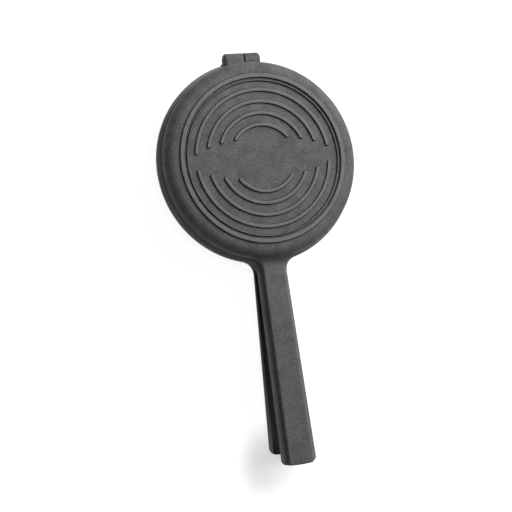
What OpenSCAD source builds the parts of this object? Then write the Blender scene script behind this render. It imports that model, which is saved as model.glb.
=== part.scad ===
// Two-part round pie iron: two shallow cast pans, face to face, joined by a
// pinned hinge at the back, each cast in one piece with its own long handle.
// Millimetres. +Z is up through the closed iron, which lies on the foot ring of
// its lower pan at z = 0. The handles run towards -Y, the hinge is at +Y.

/* [Pan] */
// Outer diameter of the flange where the two pans meet
rim_d = 160; // [140:1:200]
// Width of the flat ledge outside the pan wall
ledge_w = 2.6; // [1.8:0.1:5]
// Thickness of the flange
flange_t = 2.6; // [1.8:0.1:4]
// Depth of one pan, from the parting plane to its outer face
pan_depth = 19.5; // [17:0.5:30]
// Thickness of the side wall
wall_t = 3.5; // [2.5:0.1:5]
// Thickness of the floor
floor_t = 3.5; // [2.5:0.1:5]
// Rounding between the outer face and the side wall
shoulder_r = 8.5; // [6:0.5:10]
// Small fillet where the wall stands on the flange
foot_fillet_r = 0.8; // [0.5:0.1:1.6]
// Rounding of the flange's outer edge
flange_edge_r = 0.5; // [0.3:0.1:0.8]
// Space left between the two flanges when the iron is closed
closing_gap = 0.3; // [0.2:0.1:1]

/* [Face ribs] */
// From the wall's outer face to the middle of the foot ring
foot_ring_inset = 12.85; // [11.5:0.05:16]
// Width of the foot ring at its base
foot_ring_w = 4.2; // [3:0.1:5]
// Height of the foot ring, which the iron rests on
foot_ring_h = 1.6; // [1.5:0.1:3]
// From the middle of the foot ring to the middle of the thin ring inside it
thin_ring_step = 3.95; // [3.6:0.05:6]
// Width of the thin ring at its base
thin_ring_w = 1.9; // [1.7:0.1:2.4]
// From the middle of the thin ring to the middle of the outermost arc
arc_step = 7.3; // [5:0.1:9]
// Distance from each arc to the next one inwards
arc_pitch = 9.1; // [7:0.1:11]
// Arcs on each side of the plain band
arc_count = 4; // [2:1:4]
// Width of an arc at its base
arc_w = 3.6; // [2.8:0.1:5]
// Height of the arcs and the thin ring
rib_h = 1.4; // [0.8:0.1:1.5]
// How far each flank of a rib slopes in
rib_slope = 0.7; // [0.3:0.05:0.8]
// Height of the plain band across the middle of the face
band_h = 33.8; // [24:0.2:40]
// From the middle of the thin ring to the pointed end of the band
band_end = 2.3; // [1.5:0.1:6]

/* [Handles] */
// Length of the upper handle, from the rim to its end
handle_l = 155.6; // [110:0.1:240]
// How much shorter the lower handle is
lower_short = 6.1; // [0:0.1:15]
// Width over the handle's ledges beside the pan
handle_root_w = 23.6; // [20:0.1:30]
// Width over the handle's ledges at its end
handle_tip_w = 27.6; // [22:0.1:36]
// Width of the ledge left on each side of the raised grip, beside the pan
ledge_root_w = 2.7; // [2.4:0.1:5]
// Width of that ledge at the handle's end
ledge_tip_w = 3.7; // [2.4:0.1:6]
// Height of the handle, from its inner face to its outer face
handle_h = 7.6; // [6.5:0.1:9]
// How far each side of the grip slopes in over its height
grip_draft = 0.7; // [0.4:0.1:2]
// Rounding along the grip's outer edges
grip_edge_r = 1.1; // [0.6:0.1:1.6]
// Rounding of the upper handle's end corners, seen from above
tip_corner_r = 3.6; // [2:0.1:6]
// Rounding of the lower handle's end corners
lower_tip_corner_r = 5.4; // [2:0.1:6]
// How far a handle's end bulges in the middle
tip_crown = 0.9; // [0:0.1:3]
// How far each handle's inner face stands off the parting plane just outside the rim
handle_root_set = 2.9; // [1:0.1:4]
// How far it stands off at the handle's end
handle_set = 12.8; // [5:0.1:12.9]
// Blend between the handle's ledge and the rim, seen from above
root_blend_r = 12.5; // [8:0.5:16]
// Depth of the hollow along the handle's inner face
hollow_depth = 3.8; // [2:0.1:4.5]
// Flat land left on each side of the hollow
land_w = 2.2; // [1.5:0.1:4]

/* [Hinge] */
// Diameter of the hinge pin
pin_d = 4; // [3:0.1:5]
// Outer diameter of the hinge knuckles
knuckle_d = 11.6; // [9.5:0.1:13]
// Length of the upper pan's knuckle
upper_knuckle_l = 15.6; // [9:0.1:20]
// Length of the lower pan's knuckle
lower_knuckle_l = 12.9; // [9:0.1:20]
// Space between the two knuckles
knuckle_gap = 1.2; // [0.4:0.1:2.5]
// How far that space lies to the left of the iron's middle
knuckle_shift = 1.2; // [0:0.1:4]
// From the rim to the hinge axis
hinge_out = 1.6; // [1.2:0.1:4]
// Space between a knuckle and the pan that turns round it
knuckle_clear = 0.6; // [0.3:0.1:1]
// Radial running clearance of the pin in the upper knuckle
pin_run = 0.06; // [0.02:0.01:0.1]
// Radial squeeze of the pin in the lower knuckle
pin_press = 0.01; // [0.005:0.001:0.02]
// How far each end of the pin lies inside its bore
pin_recess = 1; // [0.2:0.1:3]

/* [Hidden] */
$fn = 96;
eps = 0.01;

// pan
rim_r = rim_d / 2;
wall_r = rim_r - ledge_w;
seat_z = closing_gap / 2;
flange_top = seat_z + flange_t;
cavity_r = wall_r - wall_t;
cavity_top = pan_depth - floor_t;
cavity_corner_r = max(1, shoulder_r - max(wall_t, floor_t));
parting_z = pan_depth + foot_ring_h;

// ribs
foot_ring_r = wall_r - foot_ring_inset;
thin_ring_r = foot_ring_r - thin_ring_step;
arc_radii = [for (i = [0 : arc_count - 1]) thin_ring_r - arc_step - i * arc_pitch];
band_a = thin_ring_r - band_end;
band_b = band_h / 2;

// hinge
hinge_y = rim_r + hinge_out;
knuckle_r = knuckle_d / 2;
relief_r = knuckle_r + knuckle_clear;
barrel_start = -knuckle_shift - knuckle_gap / 2 - upper_knuckle_l; // the barrel's two ends
barrel_end = -knuckle_shift + knuckle_gap / 2 + lower_knuckle_l;

// handle
grip_blend_r = root_blend_r - 2; // between the grip's sides and the wall
grip_foot_r = 0.8; // between the grip's sides and the ledge
top_blend_r = 8; // between the grip's top and the pan's shoulder
crown_run = 14; // length over which the bulge of the end fades out
grip_end_r = 1.2; // over the top edge of the grip's end
rise_start = -2; // from the rim to where the inner face leaves the parting plane
rise_run = 12; // length over which it rises to handle_root_set
root_in = wall_r - 0.8 * wall_t; // the handle starts this far from the middle, inside the wall
shoulder_y = wall_r - shoulder_r; // middle of the shoulder's rounding
shoulder_z = pan_depth - shoulder_r;
top_blend_z = seat_z + handle_root_set + handle_h + top_blend_r; // middle of that blend
top_blend_y = shoulder_y
    + sqrt(pow(shoulder_r + top_blend_r, 2) - pow(max(0, top_blend_z - shoulder_z), 2));
top_blend_in = top_blend_r * (top_blend_y - shoulder_y) / (shoulder_r + top_blend_r);
hollow_start = 8; // from the rim to where the hollow begins
hollow_run = 18; // length over which it deepens
hollow_end = 4; // from the handle's end to where it stops
hollow_close = 10; // length over which it closes

// Grows from 0 to 1 as t goes from 0 to 1, and stays there
function ease(t) = let (c = min(1, max(0, t))) c * c * (3 - 2 * c);

// Height of a handle's inner face above its flange, s from the rim, for a handle of length l
function rise(s) = handle_root_set * ease((s - rise_start) / rise_run);
function set_off(s, l) = rise(s) + (handle_set - handle_root_set) * min(1, max(0, s / l));

// Half width at y of a bar of half width w that flares into a circle of radius r
function flared(y, w, r, blend) =
    let (cx = w + blend, cy = -sqrt(pow(r + blend, 2) - cx * cx), touch = cy * r / (r + blend))
    y < cy ? w : cx - sqrt(max(0, blend * blend - pow(min(y, touch) - cy, 2)));

// How much a corner of radius c takes off a half width, u from the end
function corner_cut(u, c) = u >= c ? 0 : c - sqrt(max(0, c * c - pow(c - max(0, u), 2)));

// Half widths of the ledge and the grip at y on a handle of length l and end corner radius c
function taper(y, l, root, tip) = root + (tip - root) * min(1, max(0, (-y - rim_r) / l));
function ledge_half(y, l, c) =
    let (w = taper(y, l, handle_root_w / 2, handle_tip_w / 2))
    flared(y, w, rim_r, root_blend_r) - corner_cut(y + rim_r + l, c);
function grip_half(y, l, c) =
    let (w = taper(y, l, handle_root_w / 2 - ledge_root_w, handle_tip_w / 2 - ledge_tip_w))
    min(flared(y, w, wall_r, grip_blend_r), ledge_half(y, l, c) - flange_edge_r - 0.3);

// Height of the grip's outer face above the handle's inner face
function grip_top(y, l) =
    let (v = min(top_blend_in, max(0, y + top_blend_y)))
    handle_h - corner_cut(y + rim_r + l, grip_end_r) + handle_root_set - rise(-y - rim_r)
        + top_blend_r - sqrt(pow(top_blend_r, 2) - v * v);

// Depth of the hollow at y: it runs out before the pan and before the handle's end
function hollow(y, l) =
    hollow_depth * ease((-y - rim_r - hollow_start) / hollow_run)
        * ease((y + rim_r + l - hollow_end) / hollow_close);

// One side of a handle's section, from the middle of its inner face to the edge of its outer face
function half_section(y, l, c) =
    let (lw = ledge_half(y, l, c), gw = grip_half(y, l, c), top = grip_top(y, l),
         deep = hollow(y, l), a = lw - land_w, e = flange_edge_r,
         foot = min(grip_foot_r, lw - gw - e))
    concat(
        [for (i = [0 : 4]) let (x = a * i / 5) [x, deep * (1 - pow(x / a, 2))]],
        [[a, 0]],
        [for (q = [90, 45, 0]) [lw - e * (1 - cos(q)), e * (1 - sin(q))]],
        [for (q = [0, 45, 90]) [lw - e * (1 - cos(q)), flange_t - e * (1 - sin(q))]],
        [for (q = [90, 45, 0]) [gw + foot * (1 - cos(q)), flange_t + foot * (1 - sin(q))]],
        [for (q = [0 : 30 : 90]) [gw - grip_draft - grip_edge_r * (1 - cos(q)),
            top - grip_edge_r * (1 - sin(q))]]);

// Stations along a handle, close together where it blends and where it ends
function stations(l, c) =
    let (start = wall_r + top_blend_r + root_blend_r, finish = rim_r + l - c)
    concat(
        [-root_in],
        [for (i = [0 : 9]) -wall_r + 1 - (start - wall_r + 1) * i / 10],
        [for (i = [0 : 13]) -start - (finish - start) * i / 14],
        [for (u = [1, 0.55, 0.3]) -rim_r - l + u * c],
        [for (u = [0.6, 0.25, 0.08, 0]) -rim_r - l + u * grip_end_r]);

// A point of the section at y: its end bulges, and its inner face stands off the parting plane
function place(p, y, l) =
    let (bulge = tip_crown * ease(1 - (y + rim_r + l) / crown_run))
    [p[0], y + bulge * pow(2 * p[0] / handle_tip_w, 2), p[1] + seat_z + set_off(-y - rim_r, l)];

// One handle of length l and end corner radius c, its ledge following the flange
module handle(l, c) {
    ys = stations(l, c);
    half = [for (y = ys) half_section(y, l, c)];
    n = len(half[0]);
    ring = 2 * n - 1;
    last = (len(ys) - 1) * ring;
    points = concat(
        [for (k = [0 : len(ys) - 1]) each concat(
            [for (i = [n - 1 : -1 : 1]) place([-half[k][i][0], half[k][i][1]], ys[k], l)],
            [for (i = [0 : n - 1]) place(half[k][i], ys[k], l)])],
        [for (k = [0, len(ys) - 1]) place([0, flange_t / 2], ys[k], l)]);
    faces = concat(
        [for (k = [0 : len(ys) - 2], i = [0 : ring - 1])
            let (a = k * ring + i, b = k * ring + (i + 1) % ring)
            each [[a, a + ring, b], [b, a + ring, b + ring]]],
        [for (i = [0 : ring - 1]) [i, (i + 1) % ring, last + ring]],
        [for (i = [0 : ring - 1]) [last + (i + 1) % ring, last + i, last + ring + 1]]);
    polyhedron(points, faces, convexity = 4);
}

// Outer shape of a pan: flange, wall and rounded shoulder
module pan_outline() {
    translate([0, seat_z]) square([rim_r - flange_edge_r, flange_t]);
    translate([0, seat_z]) square([rim_r, flange_t - flange_edge_r]);
    translate([rim_r - flange_edge_r, flange_top - flange_edge_r]) circle(flange_edge_r);
    translate([0, seat_z]) square([wall_r, pan_depth - shoulder_r - seat_z]);
    translate([0, seat_z]) square([wall_r - shoulder_r, pan_depth - seat_z]);
    translate([wall_r - shoulder_r, pan_depth - shoulder_r]) circle(shoulder_r);
    difference() {
        translate([wall_r - eps, flange_top - eps]) square(foot_fillet_r + eps);
        translate([wall_r + foot_fillet_r, flange_top + foot_fillet_r]) circle(foot_fillet_r);
    }
}

// Inside of a pan, open at the parting plane
module cavity_outline() {
    square([cavity_r, cavity_top - cavity_corner_r]);
    square([cavity_r - cavity_corner_r, cavity_top]);
    translate([cavity_r - cavity_corner_r, cavity_top - cavity_corner_r]) circle(cavity_corner_r);
}

// Section of a rib of base width w and height h, standing on the pan's outer face
module rib_section(w, h) {
    polygon([[-w / 2, -eps], [w / 2, -eps], [w / 2 - rib_slope, h], [-w / 2 + rib_slope, h]]);
}

// A whole ring of the face
module face_ring(r, w, h) {
    translate([0, 0, pan_depth]) rotate_extrude() translate([r, 0]) rib_section(w, h);
}

// Two arcs of radius r, above and below the plain band, with rounded ends
module arc_pair(r) {
    end_y = band_b * sqrt((band_a * band_a - r * r) / (band_a * band_a - band_b * band_b));
    start = asin(end_y / r);
    for (turn = [0, 180]) rotate(turn) translate([0, 0, pan_depth]) {
        rotate(start) rotate_extrude(angle = 180 - 2 * start) translate([r, 0]) rib_section(arc_w, rib_h);
        for (q = [start, 180 - start]) rotate(q) translate([r, 0, -eps])
            cylinder(h = rib_h + eps, r1 = arc_w / 2, r2 = arc_w / 2 - rib_slope);
    }
}

// A knuckle at negative x and the web that joins it to the wall of its own pan
module knuckle(from, to) {
    web_y = sqrt(pow(wall_r - 0.3, 2) - from * from); // the web starts inside the round wall
    translate([from, hinge_y, 0]) rotate([0, 90, 0]) cylinder(h = to - from, r = knuckle_r);
    translate([from, web_y, seat_z]) cube([to - from, hinge_y - web_y, knuckle_r - seat_z]);
}

// One casting, seen as the upper one, with its parting plane at z = 0: l and c are its handle's,
// its knuckle reaches from `from` to `to`, and the other pan's knuckle lies beyond it up to `other`
module casting(l, c, from, to, other) {
    difference() {
        union() {
            difference() {
                union() {
                    rotate_extrude() pan_outline();
                    handle(l, c);
                }
                // clears the knuckle of the other pan
                translate([to, hinge_y, 0]) rotate([0, 90, 0])
                    cylinder(h = other - to + knuckle_clear, r = relief_r);
                translate([0, 0, -eps]) rotate_extrude() cavity_outline();
            }
            face_ring(foot_ring_r, foot_ring_w, foot_ring_h);
            face_ring(thin_ring_r, thin_ring_w, rib_h);
            for (r = arc_radii) arc_pair(r);
            knuckle(from, to);
        }
        children();
    }
}

// Bore through a knuckle that reaches from `from` to `to`
module knuckle_bore(from, to, r) {
    translate([from - 1, hinge_y, 0]) rotate([0, 90, 0]) cylinder(h = to - from + 2, r = r);
}

module lower_pan() {
    to = barrel_end - lower_knuckle_l;
    color([0.27, 0.27, 0.28]) translate([0, 0, parting_z]) rotate([0, 180, 0])
        casting(handle_l - lower_short, lower_tip_corner_r, -barrel_end, -to, -barrel_start)
            knuckle_bore(-barrel_end, -to, pin_d / 2 - pin_press);
}

module upper_pan() {
    to = barrel_start + upper_knuckle_l;
    color([0.3, 0.3, 0.31]) translate([0, 0, parting_z])
        casting(handle_l, tip_corner_r, barrel_start, to, barrel_end)
            knuckle_bore(barrel_start, to, pin_d / 2 + pin_run);
}

module hinge_pin() {
    color([0.45, 0.45, 0.46]) translate([barrel_start + pin_recess, hinge_y, parting_z])
        rotate([0, 90, 0]) cylinder(h = barrel_end - barrel_start - 2 * pin_recess, r = pin_d / 2);
}

lower_pan();
upper_pan();
hinge_pin();
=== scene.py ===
import math

import bpy
from mathutils import Matrix, Vector


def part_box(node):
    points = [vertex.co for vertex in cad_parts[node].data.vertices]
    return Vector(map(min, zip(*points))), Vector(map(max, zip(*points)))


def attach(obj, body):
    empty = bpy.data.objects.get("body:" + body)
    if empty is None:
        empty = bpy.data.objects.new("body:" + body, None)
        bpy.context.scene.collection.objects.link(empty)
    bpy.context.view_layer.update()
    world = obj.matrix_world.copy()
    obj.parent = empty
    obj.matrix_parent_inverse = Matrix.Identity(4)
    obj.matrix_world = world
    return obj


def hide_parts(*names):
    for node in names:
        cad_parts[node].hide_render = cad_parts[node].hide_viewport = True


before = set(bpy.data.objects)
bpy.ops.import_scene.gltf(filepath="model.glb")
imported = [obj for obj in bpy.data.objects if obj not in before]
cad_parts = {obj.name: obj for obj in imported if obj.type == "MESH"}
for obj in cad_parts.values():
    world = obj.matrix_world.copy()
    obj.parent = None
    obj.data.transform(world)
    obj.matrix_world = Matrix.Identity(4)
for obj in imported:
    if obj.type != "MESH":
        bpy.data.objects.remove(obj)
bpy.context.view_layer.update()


# ---------------------------------------------------------------- Hinge pin
# A plain drawn steel pin, pressed into the lower pan's knuckle and turning in
# the upper one. Both ends lie inside their bores, so only dull end faces show.
# It is the CAD solid itself, with its finish, and it gives the hinge's place.

mm = 0.001
pin_low, pin_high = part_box("hinge_pin")
pin_r = (pin_high.z - pin_low.z) / 2
hinge_y = (pin_low.y + pin_high.y) / 2
parting_z = (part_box("upper_pan")[1].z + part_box("lower_pan")[0].z) / 2


def new_material(name, color, roughness, metallic):
    """A material with one Principled shader, its nodes and its shader."""
    material = bpy.data.materials.new(name)
    material.use_nodes = True
    nodes = material.node_tree.nodes
    shader = nodes["Principled BSDF"]
    shader.inputs["Base Color"].default_value = (*color, 1)
    shader.inputs["Roughness"].default_value = roughness
    shader.inputs["Metallic"].default_value = metallic
    return material, nodes, shader


steel, nodes, shader = new_material(
    "drawn_steel", (0.3, 0.3, 0.31), roughness=0.38, metallic=1.0)
links = steel.node_tree.links
place = nodes.new("ShaderNodeTexCoord")
draw_lines = nodes.new("ShaderNodeMapping")
draw_lines.inputs["Scale"].default_value = (60, 2600, 2600)
lines = nodes.new("ShaderNodeTexNoise")
lines.inputs["Scale"].default_value = 1
lines.inputs["Detail"].default_value = 3
dulling = nodes.new("ShaderNodeMapRange")
dulling.inputs["To Min"].default_value = 0.3
dulling.inputs["To Max"].default_value = 0.55
scratches = nodes.new("ShaderNodeBump")
scratches.inputs["Strength"].default_value = 0.4
scratches.inputs["Distance"].default_value = 0.02 * mm
links.new(place.outputs["Object"], draw_lines.inputs["Vector"])
links.new(draw_lines.outputs["Vector"], lines.inputs["Vector"])
links.new(lines.outputs["Fac"], dulling.inputs["Value"])
links.new(dulling.outputs["Result"], shader.inputs["Roughness"])
links.new(lines.outputs["Fac"], scratches.inputs["Height"])
links.new(scratches.outputs["Normal"], shader.inputs["Normal"])

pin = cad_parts["hinge_pin"]
pin.data.materials.clear()
pin.data.materials.append(steel)


# ---------------------------------------------------------------- Pan
# Each half is one grey iron sand casting: a shallow round pan with a flange
# round its open side. The wall, shoulder, cavity and the two whole rings of
# the face are one outline turned round the pan's axis.

upper_low, upper_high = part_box("upper_pan")
rim_r = upper_high.x / mm
pan_depth = 19.5
foot_ring_h = (upper_high.z - parting_z) / mm - pan_depth
seat = 0.15
ledge_w = 2.6
flange_t = 2.6
wall_t = 3.5
floor_t = 3.5
shoulder_r = 8.5
cavity_corner_r = 5
wall_draft = 0.2
flange_root_r = 0.8
flange_edge_r = 0.55
parting_edge_r = 0.35
cavity_lip_r = 0.5
pan_steps = 240
small_bend_r = 3
weld = 0.004 * mm
wall_r = rim_r - ledge_w
cavity_r = wall_r - wall_t

foot_ring_r = wall_r - 12.85
foot_ring_w = 4.2
thin_ring_r = foot_ring_r - 3.95
thin_ring_w = 1.9
rib_h = 1.4
rib_slope = 0.7
rib_foot_r = 0.5
rib_crest_r = 0.42


def outline(corners, steps=None):
    """Points through (across, up, radius) corners, each one rounded to its radius."""
    flat = [Vector((across, up)) for across, up, _ in corners]
    points = [flat[0]]
    for before, corner, after, (_, _, radius) in zip(flat, flat[1:], flat[2:], corners[1:]):
        back = (before - corner).normalized()
        ahead = (after - corner).normalized()
        half = back.angle(ahead) / 2
        if radius == 0 or (back + ahead).length < 0.001:
            points += [corner] * (steps + 1 if steps and radius else 1)
            continue
        centre = corner + (back + ahead).normalized() * radius / math.sin(half)
        arm = corner + back * radius / math.tan(half) - centre
        swing = (math.pi - 2 * half) * (1 if back.cross(ahead) < 0 else -1)
        step = 16 if radius < small_bend_r else 8
        count = steps or max(3, round(math.degrees(abs(swing)) / step))
        points += [centre + Matrix.Rotation(swing * i / count, 2) @ arm for i in range(count + 1)]
    return points + [flat[-1]]


def rib_corners(r, width, height, base):
    """Corners of a whole ring of the face, from its inner foot to its outer foot."""
    foot = width / 2
    crest = foot - rib_slope
    return [
        (r - foot, base, rib_foot_r), (r - crest, base + height, min(rib_crest_r, crest * 1.5)),
        (r + crest, base + height, min(rib_crest_r, crest * 1.5)), (r + foot, base, rib_foot_r),
    ]


def only(*objects):
    """Selects these objects and nothing else, the first one active."""
    bpy.ops.object.select_all(action="DESELECT")
    for item in objects:
        item.select_set(True)
    bpy.context.view_layer.objects.active = objects[0]


def close_up(item):
    """Merges doubles, fills what is still open and turns the faces outwards."""
    only(item)
    bpy.ops.object.mode_set(mode="EDIT")
    bpy.ops.mesh.select_mode(type="VERT")
    bpy.ops.mesh.select_all(action="SELECT")
    bpy.ops.mesh.remove_doubles(threshold=weld)
    bpy.ops.mesh.dissolve_degenerate(threshold=weld)
    bpy.ops.mesh.select_all(action="DESELECT")
    bpy.ops.mesh.select_non_manifold()
    bpy.ops.mesh.fill_holes(sides=0)
    bpy.ops.mesh.select_all(action="SELECT")
    bpy.ops.mesh.normals_make_consistent(inside=False)
    bpy.ops.object.mode_set(mode="OBJECT")
    return item


def combine(body, tool, operation):
    """Joins the tool to the body, or cuts it out of it, and deletes the tool."""
    modifier = body.modifiers.new(operation, "BOOLEAN")
    modifier.operation = operation
    modifier.solver = "EXACT"
    modifier.object = tool
    only(body)
    bpy.ops.object.modifier_apply(modifier=modifier.name)
    bpy.data.objects.remove(tool)
    return close_up(body)


def wrapped(rings):
    """A grid wrapped round closed rings of points, its two ends filled."""
    columns, rows = len(rings[0]), len(rings) - 1
    bpy.ops.object.select_all(action="DESELECT")
    bpy.ops.mesh.primitive_grid_add(x_subdivisions=columns, y_subdivisions=rows, size=1)
    item = bpy.context.object
    for vertex in item.data.vertices:
        column = round((vertex.co.x + 0.5) * columns) % columns
        row = round((vertex.co.y + 0.5) * rows)
        vertex.co = rings[row][column]
    return close_up(item)


def turned(points, steps, angle=360, start=0, centre=(0, 0)):
    """A skin made by turning an outline in millimetres round an upright axis at centre."""
    heading = Vector((math.cos(math.radians(start)), math.sin(math.radians(start)), 0))
    axis_foot = Vector((*centre, 0))
    spots = [(axis_foot + heading * p.x + Vector((0, 0, p.y))) * mm for p in points]
    mesh = bpy.data.meshes.new("turned")
    mesh.from_pydata(spots, [(i, i + 1) for i in range(len(spots) - 1)], [])
    item = bpy.data.objects.new("turned", mesh)
    bpy.context.scene.collection.objects.link(item)
    only(item)
    bpy.ops.object.mode_set(mode="EDIT")
    bpy.ops.mesh.select_all(action="SELECT")
    bpy.ops.mesh.spin(
        steps=steps, angle=math.radians(-angle), center=axis_foot * mm, axis=(0, 0, 1))
    bpy.ops.object.mode_set(mode="OBJECT")
    return item


def cast_pan():
    """The pan with its whole rings, its parting plane at z = 0 and its face upwards."""
    corners = [(0, pan_depth, 0)]
    corners += rib_corners(thin_ring_r, thin_ring_w, rib_h, pan_depth)
    corners += rib_corners(foot_ring_r, foot_ring_w, foot_ring_h, pan_depth)
    corners += [
        (wall_r - wall_draft, pan_depth, shoulder_r),
        (wall_r, seat + flange_t, flange_root_r),
        (rim_r, seat + flange_t, flange_edge_r),
        (rim_r, seat, parting_edge_r),
        (cavity_r, seat, cavity_lip_r),
        (cavity_r - wall_draft, pan_depth - floor_t, cavity_corner_r),
        (0, pan_depth - floor_t, 0),
    ]
    return close_up(turned(outline(corners), steps=pan_steps))


# ---------------------------------------------------------------- Arcs
# Four raised arcs stand above and four below a plain band across the face.
# They are cast with it, with drafted flanks, soft crests and round ends, and
# their ends follow a flat oval.

arc_w = 3.6
arc_pitch = 9.1
first_arc_in = 7.3
arc_radii = [thin_ring_r - first_arc_in - i * arc_pitch for i in range(4)]
band_h = 33.8
band_a = thin_ring_r - 2.3
band_b = band_h / 2
arc_sink = 0.02
arc_skirt = 0.6
arc_root = 0.5


def join(items):
    """One object of them all."""
    only(*items)
    bpy.ops.object.join()
    return bpy.context.object


def cast_arc(r):
    """The arc of radius r above the band: a turned strip with a turned cap on each end."""
    foot = arc_w / 2
    crest = foot - rib_slope
    half = outline([
        (0, rib_h, 0), (crest, rib_h, rib_crest_r), (foot, 0, rib_foot_r),
        (foot + arc_skirt, 0, 0), (foot + arc_skirt, -arc_root, 0), (0, -arc_root, 0),
    ])
    level = Vector((0, pan_depth - arc_sink))
    strip = [Vector((r + p.x, p.y)) + level for p in half]
    strip += [Vector((r - p.x, p.y)) + level for p in reversed(half)]
    cap = [p + level for p in half]
    end_y = band_b * math.sqrt((band_a ** 2 - r ** 2) / (band_a ** 2 - band_b ** 2))
    start = math.degrees(math.asin(end_y / r))
    sweep = 180 - 2 * start
    pieces = [turned(strip, steps=round(sweep / 3), angle=sweep, start=start)]
    for place_angle, turn in ((start, -180), (start + sweep, 180)):
        spot = (r * math.cos(math.radians(place_angle)), r * math.sin(math.radians(place_angle)))
        pieces.append(turned(cap, steps=12, angle=turn, start=place_angle, centre=spot))
    return close_up(join(pieces))


def cast_arcs():
    """All eight arcs: the four above the band, and a copy of them turned half round."""
    above = join([cast_arc(r) for r in arc_radii])
    below = above.copy()
    below.data = above.data.copy()
    bpy.context.scene.collection.objects.link(below)
    below.data.transform(Matrix.Rotation(math.pi, 4, "Z"))
    return join([above, below])


# ---------------------------------------------------------------- Handle
# Cast in one with its pan: a low flat-topped grip with drafted sides on a ledge
# that carries the flange on round it, and a hollow along its inner face. It
# leans away from the parting plane and blends into the rim and the shoulder.

handle_root_half = 11.8
handle_tip_half = 13.8
ledge_root = 2.7
ledge_tip = 3.7
ledge_edge_r = 0.5
handle_h = 7.6
grip_draft = 0.7
grip_edge_r = 1.1
grip_end_r = 1.2
grip_foot_r = 0.8
handle_root_set = 2.9
handle_set = 12.8
rise_run = 12
tip_crown = 0.9
crown_run = 14
root_blend_r = 12.5
grip_blend_r = 10.5
top_blend_r = 8
hollow_depth = 3.8
hollow_from_rim = 8
hollow_run = 18
hollow_from_end = 4
hollow_end_run = 10
land_w = 2.2
root_in = wall_r - 0.8 * wall_t
blend_sections = 22
blend_pitch = 1.1
grip_sections = 26
corner_sections = 8


def ease(t):
    """Grows from 0 to 1 as t goes from 0 to 1, and stays there."""
    t = min(1, max(0, t))
    return t * t * (3 - 2 * t)


def flared(s, half, r, blend):
    """Half width, s from the pan's axis, of a bar that flares into a circle of radius r."""
    across = half + blend
    along = math.sqrt((r + blend) ** 2 - across ** 2)
    if s > along:
        return half
    touch = along * r / (r + blend)
    return across - math.sqrt(max(0, blend ** 2 - (along - max(s, touch)) ** 2))


def corner_cut(u, r):
    """How much a corner of radius r takes off, u from the end."""
    return 0 if u >= r else r - math.sqrt(max(0, r ** 2 - (r - max(0, u)) ** 2))


def shoulder_rise(across, s):
    """How far the blend between the grip's face and the pan's shoulder lifts a point."""
    middle_r = wall_r - shoulder_r
    height = seat + handle_root_set + handle_h + top_blend_r - (pan_depth - shoulder_r)
    blend_s = middle_r + math.sqrt((shoulder_r + top_blend_r) ** 2 - max(0, height) ** 2)
    deepest = top_blend_r * (blend_s - middle_r) / (shoulder_r + top_blend_r)
    depth = min(deepest, max(0, blend_s - math.hypot(across, s)))
    return top_blend_r - math.sqrt(top_blend_r ** 2 - depth ** 2)


def handle_ring(s, length, corner_r):
    """The handle's section s from the pan's axis, as a closed ring of points."""
    along = min(1, max(0, (s - rim_r) / length))
    u = rim_r + length - s
    half = handle_root_half + (handle_tip_half - handle_root_half) * along
    grip = half - ledge_root - (ledge_tip - ledge_root) * along
    half = flared(s, half, rim_r, root_blend_r) - corner_cut(u, corner_r)
    grip = min(flared(s, grip, wall_r, grip_blend_r), half - ledge_edge_r - 0.1)
    foot = min(grip_foot_r, half - grip - ledge_edge_r)
    deep = hollow_depth * ease((s - rim_r - hollow_from_rim) / hollow_run)
    deep *= ease((u - hollow_from_end) / hollow_end_run)
    land = half - land_w
    trough = [(land * i / 7, deep * (1 - (i / 7) ** 2), 0) for i in range(7)]
    side = outline(trough + [
        (land, 0, 0.5), (half, 0, 0.45), (half, flange_t, ledge_edge_r), (grip, flange_t, foot),
        (grip - grip_draft, handle_h, grip_edge_r), (0, handle_h, 0),
    ], steps=5)
    edge = side[-2].x
    side[-1:] = [Vector((edge * i / 5, handle_h)) for i in range(4, -1, -1)]
    rise = handle_root_set * ease((s - rim_r + 2) / rise_run)
    top = handle_h + handle_root_set - rise - corner_cut(u, grip_end_r)
    bottom_cut = corner_cut(u, 0.45)
    ring = []
    for p in side:
        up = p.y
        if up > flange_t:
            full = top - flange_t + shoulder_rise(p.x, s)
            up = flange_t + (up - flange_t) * full / (handle_h - flange_t)
        up += bottom_cut * max(0, 1 - up / 1.3)
        ring.append((p.x, up))
    ring += [(-x, up) for x, up in reversed(ring[1:-1])]
    lift_off = seat + rise + (handle_set - handle_root_set) * along
    bulge = tip_crown * ease(1 - u / crown_run) / handle_tip_half ** 2
    return [Vector((x, bulge * x * x - s, up + lift_off)) * mm for x, up in ring]


def cast_handle(length, corner_r):
    """A grid wrapped round the handle's sections, from inside the wall to the crowned end."""
    end = rim_r + length
    blend_end = root_in + blend_sections * blend_pitch
    grip_run = end - 8 - blend_end
    stations = [root_in + i * blend_pitch for i in range(blend_sections)]
    stations += [blend_end + grip_run * i / grip_sections for i in range(grip_sections + 1)]
    for i in range(1, corner_sections + 1):
        around = math.radians(90 / corner_sections * i)
        stations.append(end - corner_r * (1 - math.cos(around)))
    stations += [end - u for u in (0, 0.03, 0.1, 0.22, 0.4, 0.62, 0.9, grip_end_r)]
    ordered = sorted(stations)
    kept = [a for a, b in zip(ordered, ordered[1:]) if b - a > 0.02] + [end]
    return wrapped([handle_ring(s, length, corner_r) for s in kept])


# ---------------------------------------------------------------- Knuckle
# Each pan has one knuckle at its back, a bored barrel on a web that grows out
# of the wall, with a rounded outer end. The other pan is cleared round it.

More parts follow.
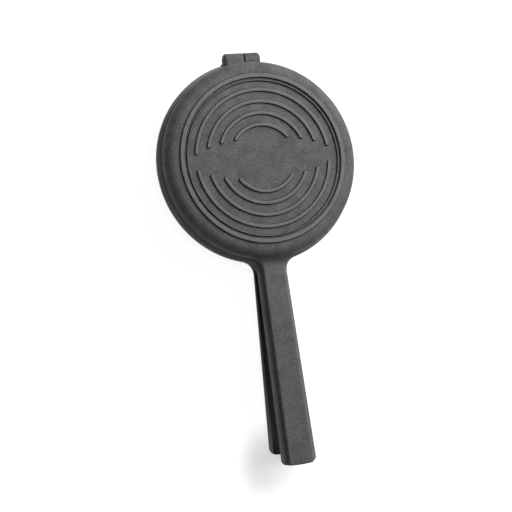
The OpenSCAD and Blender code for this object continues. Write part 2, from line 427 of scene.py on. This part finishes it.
hinge_mm = hinge_y / mm
barrel_start = pin_low.x / mm - 1
barrel_end = pin_high.x / mm + 1
knuckle_r = 5.79
upper_knuckle_l = 15.6
lower_knuckle_l = 12.9
knuckle_clear = 0.6
knuckle_end_r = 2.4
knuckle_flare = 2.4
flare_tip_r = 2.8
knuckle_blend_r = 1.5
web_in = 2


def barrel(radius, from_x, to_x):
    """A round bar along the hinge axis."""
    bpy.ops.object.select_all(action="DESELECT")
    bpy.ops.mesh.primitive_cylinder_add(
        vertices=72, radius=radius * mm, depth=(to_x - from_x) * mm,
        location=((from_x + to_x) / 2 * mm, hinge_mm * mm, 0), rotation=(0, math.pi / 2, 0))
    bpy.ops.object.transform_apply(location=True, rotation=True, scale=True)
    return bpy.context.object


def knuckle_ring(x, radius, middle, lowest):
    """The knuckle's section at x: a round of this radius and middle, its web and a fillet."""
    wall_y = math.sqrt(wall_r ** 2 - x ** 2)
    middle = max(middle, wall_y + 0.3)
    blend = min(knuckle_blend_r, middle - wall_y)
    front = 180 - math.degrees(math.asin(min(1, seat / radius)))
    ring = [(wall_y - web_in, seat)]
    for i in range(49):
        angle = math.radians(front + (450 - front) * i / 48)
        ring.append((middle + radius * math.cos(angle), radius * math.sin(angle)))
    for i in range(7):
        angle = math.radians(270 - 15 * i)
        ring.append((
            wall_y + blend * (1 + math.cos(angle)),
            radius + blend * (1 + math.sin(angle))))
    ring.append((wall_y - web_in, radius + blend))
    return [Vector((x, max(y, wall_y - web_in), max(z, lowest))) * mm for y, z in ring]


def cast_knuckle(start, finish, bore_r):
    """The knuckle between start, its rounded end that flares to the rim, and finish."""
    rings = []
    for i in range(9):
        out = knuckle_flare * math.cos(math.radians(90 * i / 8))
        reach = corner_cut(out, knuckle_flare)
        radius = flare_tip_r + reach
        rings.append(knuckle_ring(start - out, radius, rim_r - 1 + reach - radius, seat))
    for i in range(9):
        inward = knuckle_end_r * (1 - math.cos(math.radians(90 * i / 8)))
        cut = corner_cut(inward, knuckle_end_r)
        rings.append(knuckle_ring(start + inward, knuckle_r - cut, hinge_mm, -knuckle_r))
    for inward in (0.5, 0.25, 0.07, 0):
        cut = corner_cut(inward, 0.5)
        rings.append(knuckle_ring(finish - inward, knuckle_r - cut, hinge_mm, -knuckle_r))
    return combine(wrapped(rings), barrel(bore_r, start - 4, finish + 1), "DIFFERENCE")


# ---------------------------------------------------------------- Cast iron
# Grey iron as it leaves the sand: a fine pebbled skin, faintly mottled. The crests are lighter,
# partly for wear and partly as a painted highlight; the flange, ledges and lands carry a painted
# highlight over some bare rubbed metal; the ribs' flanks and feet carry painted shade; the cavity
# is seasoned dark and the handles' hollows carry painted shade.

def sand_skin_group():
    """Node group: the pebbled skin's height, and its slow and fine changes of tone."""
    group = bpy.data.node_groups.new("sand_skin", "ShaderNodeTree")
    group.interface.new_socket("Grain", in_out="INPUT", socket_type="NodeSocketFloat")
    group.interface.new_socket("Height", in_out="OUTPUT", socket_type="NodeSocketFloat")
    group.interface.new_socket("Mottle", in_out="OUTPUT", socket_type="NodeSocketFloat")
    group.interface.new_socket("Speckle", in_out="OUTPUT", socket_type="NodeSocketFloat")
    nodes, links = group.nodes, group.links
    given = nodes.new("NodeGroupInput")
    made = nodes.new("NodeGroupOutput")
    place = nodes.new("ShaderNodeTexCoord")

    pebbles = nodes.new("ShaderNodeTexVoronoi")
    pebbles.feature = "SMOOTH_F1"
    pebbles.inputs["Smoothness"].default_value = 0.6
    pebbles.inputs["Randomness"].default_value = 1
    grit = nodes.new("ShaderNodeTexNoise")
    grit.inputs["Detail"].default_value = 4
    grit.inputs["Roughness"].default_value = 0.62
    clouds = nodes.new("ShaderNodeTexNoise")
    clouds.inputs["Scale"].default_value = 110
    clouds.inputs["Detail"].default_value = 5
    clouds.inputs["Roughness"].default_value = 0.6

    both = nodes.new("ShaderNodeMath")
    both.operation = "SUBTRACT"
    for node in (pebbles, grit, clouds):
        links.new(place.outputs["Object"], node.inputs["Vector"])
    links.new(given.outputs["Grain"], pebbles.inputs["Scale"])
    links.new(given.outputs["Grain"], grit.inputs["Scale"])
    links.new(grit.outputs["Fac"], both.inputs[0])
    links.new(pebbles.outputs["Distance"], both.inputs[1])
    links.new(both.outputs["Value"], made.inputs["Height"])
    links.new(clouds.outputs["Fac"], made.inputs["Mottle"])
    links.new(grit.outputs["Fac"], made.inputs["Speckle"])
    return group


def ramp(tree, source, low, high, low_value=0, high_value=1):
    """Adds a smooth ramp of the source from low to high and gives its output."""
    node = tree.nodes.new("ShaderNodeMapRange")
    node.interpolation_type = "SMOOTHSTEP"
    node.inputs["From Min"].default_value = low
    node.inputs["From Max"].default_value = high
    node.inputs["To Min"].default_value = low_value
    node.inputs["To Max"].default_value = high_value
    tree.links.new(source, node.inputs["Value"])
    return node.outputs["Result"]


def math_node(tree, operation, *terms):
    """Adds a math node fed by sockets or numbers and gives its output."""
    node = tree.nodes.new("ShaderNodeMath")
    node.operation = operation
    for term, entry in zip(terms, node.inputs):
        if isinstance(term, (int, float)):
            entry.default_value = term
        else:
            tree.links.new(term, entry)
    return node.outputs["Value"]


def casting_zones_group():
    """Node group: where the crests, flanks, flange and inside of a casting are, as masks for wear,
    seasoning, painted highlight and painted shade.
    """
    group = bpy.data.node_groups.new("casting_zones", "ShaderNodeTree")
    group.interface.new_socket("Outward", in_out="INPUT", socket_type="NodeSocketFloat")
    group.interface.new_socket("Handle", in_out="INPUT", socket_type="NodeSocketFloat")
    for zone in ("CrestWearAndHighlight", "FlankShade", "FlangeHighlightAndWear", "Inside"):
        group.interface.new_socket(zone, in_out="OUTPUT", socket_type="NodeSocketFloat")
    given = group.nodes.new("NodeGroupInput")
    made = group.nodes.new("NodeGroupOutput")
    place = group.nodes.new("ShaderNodeTexCoord")
    split = group.nodes.new("ShaderNodeSeparateXYZ")
    group.links.new(place.outputs["Object"], split.inputs["Vector"])
    across = math_node(group, "DIVIDE", split.outputs["X"], mm)
    along = math_node(group, "DIVIDE", split.outputs["Y"], -mm)
    off_parting = math_node(group, "SUBTRACT", split.outputs["Z"], parting_z)
    above = math_node(group, "DIVIDE", off_parting, mm)
    height = math_node(group, "MULTIPLY", above, given.outputs["Outward"])

    set_off = ramp(group, along, rim_r - 2, rim_r - 2 + rise_run, seat, seat + handle_root_set)
    past_rim = math_node(group, "SUBTRACT", along, rim_r)
    reach = math_node(group, "DIVIDE", past_rim, given.outputs["Handle"])
    reach = math_node(group, "MAXIMUM", reach, 0)
    lean = math_node(group, "MULTIPLY", reach, handle_set - handle_root_set)
    own = math_node(group, "SUBTRACT", height, math_node(group, "ADD", set_off, lean))

    radius = math_node(group, "SQRT", math_node(
        group, "ADD", math_node(group, "POWER", across, 2), math_node(group, "POWER", along, 2)))
    face_r = foot_ring_r + 3
    crest_low = pan_depth + 0.8
    flank_low = pan_depth + 0.03
    flank_high = pan_depth + 0.75
    soft_edge = 0.4
    on_face = ramp(group, radius, face_r, face_r + 1, 1, 0)
    # Crest: the ribs' tops, made lighter partly for wear and partly as a painted highlight.
    top = ramp(group, height, crest_low, crest_low + soft_edge)
    crest = math_node(group, "MULTIPLY", top, on_face)
    # Flank: the ribs' flanks and feet, where a near-black painted shade goes.
    foot = ramp(group, height, flank_low, flank_low + 0.22)
    below = ramp(group, height, flank_high, flank_high + soft_edge, 1, 0)
    flank_shade = math_node(group, "MULTIPLY", math_node(group, "MULTIPLY", foot, below), on_face)
    # Flange: the flange's top, the handles' ledges and the land beside each hollow, made lighter as
    # a painted highlight over some bare rubbed metal.
    lower_edge = ramp(group, own, flange_t - 0.5, flange_t - 0.15)
    upper_edge = ramp(group, own, flange_t + 0.1, flange_t + 0.45, 1, 0)
    ledge = math_node(
        group, "MULTIPLY", math_node(group, "MULTIPLY", lower_edge, upper_edge),
        ramp(group, along, rim_r - 4, rim_r + 8, 1, 0.6))
    land = math_node(
        group, "MULTIPLY", ramp(group, own, -0.4, -0.1), ramp(group, own, 0.1, 0.5, 1, 0))
    beside = ramp(group, math_node(group, "ABSOLUTE", across), barrel_end + 2, barrel_end + 4)
    off_knuckles = math_node(group, "MAXIMUM", beside, ramp(group, along, -wall_r, 3 - wall_r))
    flange_highlight = math_node(group, "MULTIPLY", math_node(group, "MAXIMUM", ledge, land), off_knuckles)

    # Inside: the pan's cavity, seasoned dark, and the handle's hollow, where the same dark is
    # painted shade.
    cavity = math_node(
        group, "MULTIPLY", ramp(group, radius, cavity_r, cavity_r + 0.4, 1, 0),
        ramp(group, own, pan_depth - floor_t, pan_depth - floor_t + 0.5, 1, 0))
    hollow_half = (handle_root_half + handle_tip_half) / 2 - land_w
    bowl = math_node(group, "POWER", math_node(group, "DIVIDE", across, hollow_half), 2)
    vault = math_node(group, "MULTIPLY", math_node(group, "SUBTRACT", 1, bowl), hollow_depth)
    hollow_shade = math_node(
        group, "MULTIPLY", ramp(group, math_node(group, "SUBTRACT", own, vault), 0.2, 0.9, 1, 0),
        ramp(group, along, rim_r + 3, rim_r + 10))
    inside = math_node(group, "MAXIMUM", cavity, hollow_shade)
    for zone, value in (("CrestWearAndHighlight", crest), ("FlankShade", flank_shade), ("FlangeHighlightAndWear", flange_highlight), ("Inside", inside)):
        group.links.new(value, made.inputs[zone])
    return group


sand_skin = sand_skin_group()
casting_zones = casting_zones_group()
iron_dark = (0.094, 0.095, 0.098)
iron_light = (0.154, 0.155, 0.159)
# Lighter iron for wear on the crests and flange, and for their painted highlight.
iron_worn_and_highlight = (0.24, 0.24, 0.245)
# Painted shade for the ribs' flanks and feet.
iron_painted_shade = (0.015, 0.015, 0.016)
# Seasoned iron in the cavity, and painted shade in the handles' hollows.
iron_seasoned_and_shade = (0.022, 0.021, 0.021)


def cast_iron(name, outward, length):
    """Cast iron for one pan, that looks up (1) or down (-1) and has a handle of this length."""
    iron, nodes, shader = new_material(name, iron_dark, roughness=0.5, metallic=0.05)
    tree = iron.node_tree
    links = tree.links
    shader.inputs["Specular IOR Level"].default_value = 0.08

    skin = nodes.new("ShaderNodeGroup")
    skin.node_tree = sand_skin
    skin.inputs["Grain"].default_value = 720
    zones = nodes.new("ShaderNodeGroup")
    zones.node_tree = casting_zones
    zones.inputs["Outward"].default_value = outward
    zones.inputs["Handle"].default_value = length

    mottle = ramp(tree, skin.outputs["Mottle"], 0.3, 0.7, 0.2, 0.8)
    speckle = ramp(tree, skin.outputs["Speckle"], 0.3, 0.7, -0.35, 0.35)
    tone = nodes.new("ShaderNodeMix")
    tone.data_type = "RGBA"
    tone.inputs["A"].default_value = (*iron_dark, 1)
    tone.inputs["B"].default_value = (*iron_light, 1)
    links.new(math_node(tree, "ADD", mottle, speckle), tone.inputs["Factor"])
    color = tone.outputs["Result"]
    # Layers over the mottled tone: lighter crests (part wear, part painted highlight), painted
    # highlight on the flange, painted shade on the flanks, and a dark inside (seasoning in the
    # cavity, painted shade in the hollows).
    for zone, share, zone_color in (
            ("CrestWearAndHighlight", 0.5, iron_worn_and_highlight), ("FlangeHighlightAndWear", 0.9, iron_worn_and_highlight),
            ("FlankShade", 0.95, iron_painted_shade), ("Inside", 1, iron_seasoned_and_shade)):
        layer = nodes.new("ShaderNodeMix")
        layer.data_type = "RGBA"
        layer.inputs["B"].default_value = (*zone_color, 1)
        links.new(math_node(tree, "MULTIPLY", zones.outputs[zone], share), layer.inputs["Factor"])
        links.new(color, layer.inputs["A"])
        color = layer.outputs["Result"]
    links.new(color, shader.inputs["Base Color"])

    satin = ramp(tree, skin.outputs["Mottle"], 0.3, 0.7, 0.56, 0.46)
    oiled = math_node(tree, "MULTIPLY", zones.outputs["Inside"], 0.08)
    links.new(math_node(tree, "ADD", satin, oiled), shader.inputs["Roughness"])

    pebbled = nodes.new("ShaderNodeBump")
    pebbled.inputs["Strength"].default_value = 0.95
    pebbled.inputs["Distance"].default_value = 0.25 * mm
    links.new(skin.outputs["Height"], pebbled.inputs["Height"])
    links.new(pebbled.outputs["Normal"], shader.inputs["Normal"])
    return iron


def casting(name, length, corner_r, knuckle, other_end, bore_r):
    """One whole casting, seen as the upper one, with its parting plane at z = 0."""
    start, finish = knuckle
    body = combine(cast_pan(), cast_arcs(), "UNION")
    cleared = barrel(knuckle_r + knuckle_clear, finish, other_end + knuckle_clear)
    combine(body, cleared, "DIFFERENCE")
    combine(body, cast_handle(length, corner_r), "UNION")
    combine(body, cast_knuckle(start, finish, bore_r), "UNION")
    body.name = body.data.name = name
    return body


def finish_casting(body, material, node, rigid_body):
    """Smooths the faces, keeps the flats flat and fixes the casting to its body."""
    only(body)
    bpy.ops.object.shade_smooth_by_angle(angle=math.radians(38))
    flats = body.modifiers.new("flats", "WEIGHTED_NORMAL")
    flats.keep_sharp = True
    bpy.ops.object.modifier_apply(modifier=flats.name)
    body.data.materials.clear()
    body.data.materials.append(material)
    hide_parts(node)
    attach(body, rigid_body)


# ---------------------------------------------------------------- Upper pan
# The front half in the picture: the longer handle and the left knuckle, which
# turns freely on the pin.

upper_length = -upper_low.y / mm - rim_r
upper = casting(
    "upper_casting", upper_length, corner_r=3.6, bore_r=pin_r / mm + 0.06,
    knuckle=(barrel_start, barrel_start + upper_knuckle_l), other_end=barrel_end)
upper.data.transform(Matrix.Translation((0, 0, parting_z)))
upper_iron = cast_iron("cast_iron_upper", 1, upper_length)
finish_casting(upper, upper_iron, "upper_pan", "upper")


# ---------------------------------------------------------------- Lower pan
# The same casting turned over, with a slightly shorter and rounder-ended
# handle. Its knuckle lies on the right and grips the pin.

lower_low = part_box("lower_pan")[0]
lower_length = -lower_low.y / mm - rim_r
lower = casting(
    "lower_casting", lower_length, corner_r=5.4, bore_r=pin_r / mm,
    knuckle=(-barrel_end, -barrel_end + lower_knuckle_l), other_end=-barrel_start)
lower.data.transform(Matrix.Translation((0, 0, parting_z)) @ Matrix.Rotation(math.pi, 4, "Y"))
lower_iron = cast_iron("cast_iron_lower", -1, lower_length)
finish_casting(lower, lower_iron, "lower_pan", "lower")


# ---------------------------------------------------------------- Floor
# A plain white studio floor. Its glow shows only to the camera and in reflections, and is dulled in
# a soft spot under the handles' ends: a painted shadow, like the soft one that handles standing off
# the floor leave, not cast by the lamps.

floor_white = 0.92
# The painted shadow under the handles' ends: the glow at its core, its middle, and its core and
# outer radii.
painted_shadow_level = 0.62
painted_shadow_middle = (-0.01, upper_low.y, 0)
painted_shadow_core_r = 0.01
painted_shadow_edge_r = 0.037


def shown_white(tree):
    """Adds a switch that is 1 for what the camera and reflections see, 0 for light."""
    path = tree.nodes.new("ShaderNodeLightPath")
    bounced = math_node(
        tree, "MAXIMUM", path.outputs["Is Glossy Ray"], path.outputs["Is Transmission Ray"])
    return math_node(tree, "MAXIMUM", path.outputs["Is Camera Ray"], bounced)


bpy.ops.object.select_all(action="DESELECT")
bpy.ops.mesh.primitive_plane_add(size=6, location=(0, 0, 0))
floor = bpy.context.object
floor.name = "floor"
white, nodes, shader = new_material("white_floor", (0.5, 0.5, 0.5), roughness=0.9, metallic=0)
tree = white.node_tree
shader.inputs["Emission Color"].default_value = (1, 1, 1, 1)
shader.inputs["Specular IOR Level"].default_value = 0.1
place = nodes.new("ShaderNodeTexCoord")
from_painted_shadow = nodes.new("ShaderNodeVectorMath")
from_painted_shadow.operation = "DISTANCE"
from_painted_shadow.inputs[1].default_value = painted_shadow_middle
tree.links.new(place.outputs["Object"], from_painted_shadow.inputs[0])
glow_with_painted_shadow = ramp(
    tree, from_painted_shadow.outputs["Value"], painted_shadow_core_r, painted_shadow_edge_r, painted_shadow_level, floor_white)
glow = math_node(tree, "MULTIPLY", shown_white(tree), glow_with_painted_shadow)
tree.links.new(glow, shader.inputs["Emission Strength"])
floor.data.materials.append(white)


# ---------------------------------------------------------------- Light
# One broad soft lamp from the upper right, a weak one from above and one from
# the handles' side, in a nearly dark room that shows white to the camera and in
# reflections.

lamp_aim = Vector((0, 0.03, 0.02))
room_light = 0.003


def soft_lamp(name, azimuth, elevation, size, watts):
    """A square area lamp 1 m from the pans, in a direction given in degrees."""
    lamp = bpy.data.lights.new(name, "AREA")
    lamp.energy = watts
    lamp.size = size
    item = bpy.data.objects.new(name, lamp)
    bpy.context.scene.collection.objects.link(item)
    turn = Matrix.Rotation(math.radians(azimuth), 3, "Z")
    lift = Matrix.Rotation(math.radians(-elevation), 3, "Y")
    direction = turn @ lift @ Vector((1, 0, 0))
    item.location = lamp_aim + direction
    item.rotation_euler = direction.to_track_quat("Z", "Y").to_euler()


soft_lamp("key", azimuth=35, elevation=41, size=0.65, watts=11.8)
soft_lamp("top", azimuth=180, elevation=80, size=0.45, watts=1.4)
soft_lamp("front_fill", azimuth=282, elevation=24, size=0.45, watts=0.2)

world = bpy.data.worlds.new("room")
bpy.context.scene.world = world
world.use_nodes = True
tree = world.node_tree
room = tree.nodes["Background"]
room.inputs["Color"].default_value = (1, 1, 1, 1)
level = tree.nodes.new("ShaderNodeMapRange")
level.inputs["To Min"].default_value = room_light
level.inputs["To Max"].default_value = 1
tree.links.new(shown_white(tree), level.inputs["Value"])
tree.links.new(level.outputs["Result"], room.inputs["Strength"])


# ---------------------------------------------------------------- Camera
# High above the iron and off to its left, turned until the handles point down
# the picture, as a long lens sees it from 0.9 m.

view_azimuth = math.radians(-77.34)
view_elevation = math.radians(72.25)
view_roll = math.radians(70.96)
view_from = Vector((-0.2743, -0.133, 0.8468 + parting_z))
focal_mm = 80.24

back = Vector((
    math.sin(view_azimuth) * math.cos(view_elevation),
    -math.cos(view_azimuth) * math.cos(view_elevation),
    math.sin(view_elevation)))
level_right = Vector((math.cos(view_azimuth), math.sin(view_azimuth), 0))
level_up = back.cross(level_right)
right = level_right * math.cos(view_roll) + level_up * math.sin(view_roll)
up = back.cross(right)
lens = bpy.data.cameras.new("camera")
lens.lens = focal_mm
lens.sensor_width = 36
camera = bpy.data.objects.new("camera", lens)
bpy.context.scene.collection.objects.link(camera)
turn = Matrix((right, up, back)).transposed().to_4x4()
camera.matrix_world = Matrix.Translation(view_from) @ turn
bpy.context.scene.camera = camera
bpy.context.scene.view_settings.view_transform = "Standard"
